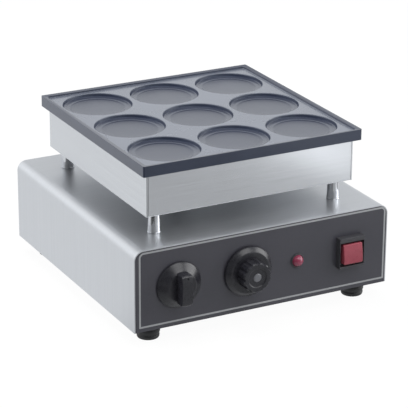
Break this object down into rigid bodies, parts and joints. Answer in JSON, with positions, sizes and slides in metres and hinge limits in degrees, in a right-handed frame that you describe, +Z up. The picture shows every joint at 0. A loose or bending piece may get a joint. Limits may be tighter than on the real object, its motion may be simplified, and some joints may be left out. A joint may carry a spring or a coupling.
{
  "type": "mini pancake maker",
  "caption": "Square electric griddle with rows of round pancake pits, on pillars over a steel base with a timer, a thermostat, a lamp and a rocker switch.",
  "frame": {"origin": "on the worktop, under the middle of the square base", "axes": "+Z up, -Y towards the person at the control panel, +X to that person's right"},
  "size_m": [0.34, 0.392, 0.2127],
  "materials": {
    "stainless": "brushed stainless sheet",
    "galvanised": "dull galvanised sheet",
    "panel_black": "satin black enamel with a silver line",
    "foot_rubber": "black rubber",
    "polished_steel": "turned and polished steel",
    "plated_steel": "zinc-plated steel",
    "coated_plate": "cast plate with a dark non-stick coating",
    "mineral_wool": "mineral wool",
    "element_sheath": "dark oxidised steel sheath",
    "knob_black": "moulded black phenolic",
    "switch_black": "moulded black nylon",
    "rocker_red": "translucent red plastic",
    "lens_red": "clear red plastic",
    "control_cream": "moulded cream plastic",
    "copper": "drawn copper tube",
    "terminal_brass": "brass",
    "loom_sleeve": "woven glass sleeve",
    "gland_black": "moulded black nylon"
  },
  "bodies": {
    "machine": {"base_shell": "stainless", "rear_panel": "stainless", "heater_box_wrap": "stainless", "heater_box_side_left": "stainless", "heater_box_side_right": "stainless", "bottom_cover": "galvanised", "reflector_plate": "galvanised", "element_clamps": "galvanised", "wire_conduit": "galvanised", "front_panel": "panel_black", "foot_front_left": "foot_rubber", "foot_front_right": "foot_rubber", "foot_rear_left": "foot_rubber", "foot_rear_right": "foot_rubber", "pillar_front_left": "polished_steel", "pillar_front_right": "polished_steel", "pillar_rear_left": "polished_steel", "pillar_rear_right": "polished_steel", "cover_screws": "plated_steel", "foot_screws": "plated_steel", "foot_nuts": "plated_steel", "pillar_studs": "plated_steel", "pillar_nuts": "plated_steel", "clamp_screws": "plated_steel", "plate_screws": "plated_steel", "timer_screws": "plated_steel", "thermostat_screws": "plated_steel", "griddle_plate": "coated_plate", "insulation_pad": "mineral_wool", "heating_element_left": "element_sheath", "heating_element_middle": "element_sheath", "heating_element_right": "element_sheath", "switch_housing": "switch_black", "lamp_body": "switch_black", "lamp_lens": "lens_red", "timer_body": "control_cream", "thermostat_body": "control_cream", "terminal_block": "control_cream", "thermostat_capillary": "copper", "terminal_screws": "terminal_brass", "heater_loom": "loom_sleeve", "gland_body": "gland_black", "gland_cap": "gland_black", "gland_nut": "gland_black"},
    "timer_dial": {"timer_knob": "knob_black", "timer_shaft": "plated_steel"},
    "thermostat_dial": {"thermostat_knob": "knob_black", "thermostat_shaft": "plated_steel"},
    "rocker": {"switch_rocker": "rocker_red"}
  },
  "joints": [
    {"name": "timer_turn", "type": "hinge", "parent": "machine", "child": "timer_dial", "pos_m": [-0.1135, -0.17, 0.0712], "axis": [0, 1, 0], "range_deg": [0, 300]},
    {"name": "thermostat_turn", "type": "hinge", "parent": "machine", "child": "thermostat_dial", "pos_m": [-0.0227, -0.17, 0.0712], "axis": [0, 1, 0], "range_deg": [0, 270]},
    {"name": "rocker_tip", "type": "hinge", "parent": "machine", "child": "rocker", "pos_m": [0.116, -0.174, 0.0712], "axis": [1, 0, 0], "range_deg": [0, 14]}
  ]
}
